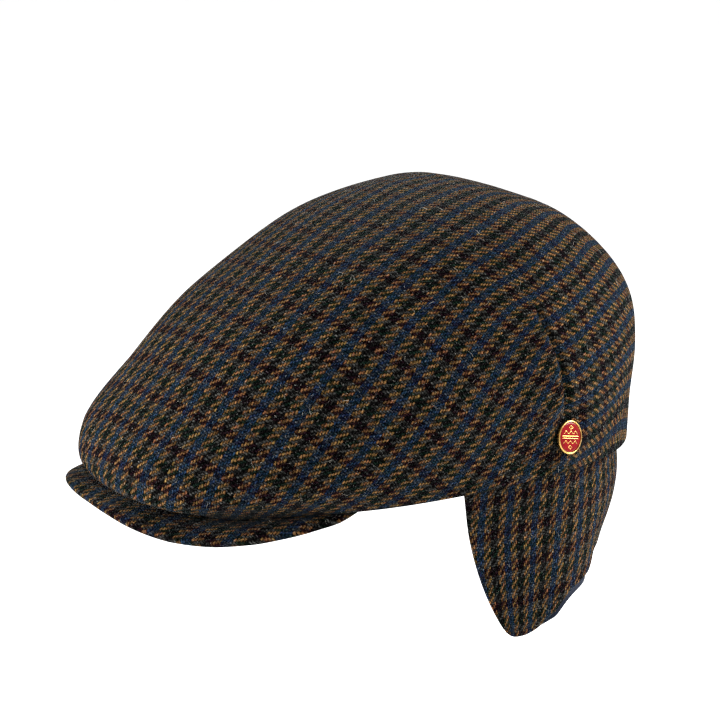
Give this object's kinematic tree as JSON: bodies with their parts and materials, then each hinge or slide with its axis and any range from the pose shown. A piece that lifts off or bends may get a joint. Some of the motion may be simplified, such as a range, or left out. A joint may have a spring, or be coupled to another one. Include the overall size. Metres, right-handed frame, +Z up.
{
  "type": "earflap flat cap",
  "caption": "Rounded tweed flat cap with a short stiff peak, a lined band that hangs over the ears and the nape, and an enamelled badge pinned to its side.",
  "frame": {"origin": "middle of the head opening, level with the hem at the ears, where the cap sits on the head", "axes": "-Y is the front, where the peak points; +X is the wearer's left; +Z is up"},
  "size_m": [0.182, 0.2716, 0.1879],
  "materials": {
    "tweed": "wool twill tweed striped blue, ochre and brown-black",
    "lining": "dark navy satin weave",
    "brass": "polished",
    "enamel": "glossy red enamel",
    "steel": "satin"
  },
  "bodies": {
    "root": {"crown": "tweed", "peak": "tweed", "ear_band": "tweed", "ear_band_lining": "lining", "badge_rim": "brass", "badge_enamel": "enamel", "badge_pin": "steel"}
  },
  "joints": []
}
